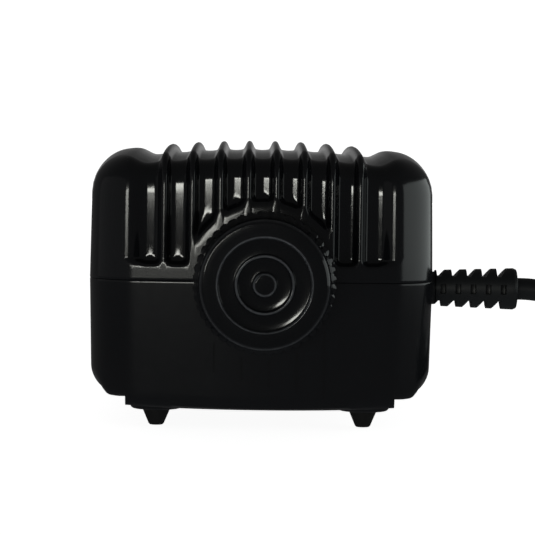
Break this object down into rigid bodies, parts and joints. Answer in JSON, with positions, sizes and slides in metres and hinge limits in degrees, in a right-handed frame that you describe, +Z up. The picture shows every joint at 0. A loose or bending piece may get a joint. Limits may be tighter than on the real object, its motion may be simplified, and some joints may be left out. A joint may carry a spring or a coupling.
{
  "type": "aquarium air pump",
  "caption": "Mains aquarium air pump: black ribbed case on rubber feet, rotary flow knob in front, rear air outlets, corded plug and an electromagnet-driven diaphragm mechanism inside.",
  "frame": {"origin": "on the standing surface, under the middle of the pump between knob front and outlet tips", "axes": "+X to the right towards the cord side seen from the front, -Y towards the front with the knob, +Z up"},
  "size_m": [0.2361, 0.174, 0.0767],
  "materials": {
    "case_plastic": "moulded black ABS, fine satin",
    "knob_plastic": "black, glossy",
    "foot_rubber": "matt",
    "steel_screw": "zinc plated",
    "steel_plate": "zinc plated",
    "felt": "felt",
    "pot_case": "satin",
    "board": "resin board",
    "capacitor": "dipped film capacitor",
    "triac": "epoxy",
    "core_steel": "stacked laminations",
    "bobbin_nylon": "nylon",
    "copper": "enamelled copper wire",
    "lead_red": "PVC",
    "lead_blue": "PVC",
    "ferrite": "ferrite magnet",
    "black_rubber": "matt",
    "chamber_plastic": "moulded",
    "gasket": "matt",
    "hose": "silicone",
    "outlet_plastic": "black, glossy",
    "cord_pvc": "black PVC",
    "tie": "black",
    "pin_nickel": "nickel plated"
  },
  "bodies": {
    "case": {"top_cover": "case_plastic", "lower_case": "case_plastic", "case_screws": "steel_screw", "foot_front_left": "foot_rubber", "foot_front_right": "foot_rubber", "foot_rear_left": "foot_rubber", "foot_rear_right": "foot_rubber", "filter_felt": "felt", "filter_cover": "case_plastic", "control_pot": "pot_case", "control_board": "board", "board_capacitor": "capacitor", "board_triac": "triac", "magnet_core": "core_steel", "coil_bobbin": "bobbin_nylon", "coil_winding": "copper", "core_screws": "steel_screw", "coil_leads": "lead_red", "mains_leads": "lead_blue", "left_pivot_rubber": "black_rubber", "right_pivot_rubber": "black_rubber", "pivot_clamp": "steel_plate", "pivot_clamp_screw": "steel_screw", "left_diaphragm": "black_rubber", "right_diaphragm": "black_rubber", "left_chamber": "chamber_plastic", "right_chamber": "chamber_plastic", "left_gasket": "gasket", "right_gasket": "gasket", "left_chamber_cover": "chamber_plastic", "right_chamber_cover": "chamber_plastic", "left_cover_screws": "steel_screw", "right_cover_screws": "steel_screw", "chamber_mount_screws": "steel_screw", "left_hose": "hose", "right_hose": "hose", "left_outlet": "outlet_plastic", "right_outlet": "outlet_plastic", "strain_relief": "cord_pvc", "power_cord": "cord_pvc", "cord_coil": "cord_pvc", "cord_tail": "cord_pvc", "cord_tie": "tie", "plug_body": "cord_pvc", "plug_pins": "pin_nickel"},
    "knob": {"control_knob": "knob_plastic", "control_shaft": "steel_plate"},
    "left_swing": {"left_arm": "bobbin_nylon", "left_magnets": "ferrite", "left_diaphragm_washer": "steel_screw", "left_diaphragm_screw": "steel_screw"},
    "right_swing": {"right_arm": "bobbin_nylon", "right_magnets": "ferrite", "right_diaphragm_washer": "steel_screw", "right_diaphragm_screw": "steel_screw"},
    "left_inlet_valve": {"left_inlet_flap": "black_rubber"},
    "right_inlet_valve": {"right_inlet_flap": "black_rubber"},
    "left_outlet_valve": {"left_outlet_flap": "black_rubber"},
    "right_outlet_valve": {"right_outlet_flap": "black_rubber"}
  },
  "joints": [
    {"name": "knob_turn", "type": "hinge", "parent": "case", "child": "knob", "pos_m": [0.0008, -0.07, 0.0388], "axis": [0, -1, 0], "range_deg": [-140, 140]},
    {"name": "left_arm_swing", "type": "hinge", "parent": "case", "child": "left_swing", "pos_m": [-0.013, 0.052, 0.033], "axis": [0, 0, 1], "range_deg": [-1.5, 1.5], "stiffness_Nm_per_rad": 6, "deforming": ["left_diaphragm"]},
    {"name": "right_arm_swing", "type": "hinge", "parent": "case", "child": "right_swing", "pos_m": [0.013, 0.052, 0.033], "axis": [0, 0, 1], "range_deg": [-1.5, 1.5], "stiffness_Nm_per_rad": 6, "deforming": ["right_diaphragm"]},
    {"name": "left_inlet_flap_open", "type": "hinge", "parent": "case", "child": "left_inlet_valve", "pos_m": [-0.0301, 0.012, 0.039], "axis": [0, -1, 0], "range_deg": [0, 18], "stiffness_Nm_per_rad": 0.002},
    {"name": "right_inlet_flap_open", "type": "hinge", "parent": "case", "child": "right_inlet_valve", "pos_m": [0.0301, 0.012, 0.039], "axis": [0, 1, 0], "range_deg": [0, 18], "stiffness_Nm_per_rad": 0.002},
    {"name": "left_outlet_flap_open", "type": "hinge", "parent": "case", "child": "left_outlet_valve", "pos_m": [-0.0339, 0.025, 0.039], "axis": [0, 1, 0], "range_deg": [0, 18], "stiffness_Nm_per_rad": 0.002},
    {"name": "right_outlet_flap_open", "type": "hinge", "parent": "case", "child": "right_outlet_valve", "pos_m": [0.0339, 0.025, 0.039], "axis": [0, -1, 0], "range_deg": [0, 18], "stiffness_Nm_per_rad": 0.002}
  ],
  "couplings": [
    {"joint": "right_arm_swing", "follows": "left_arm_swing", "ratio": -1}
  ]
}
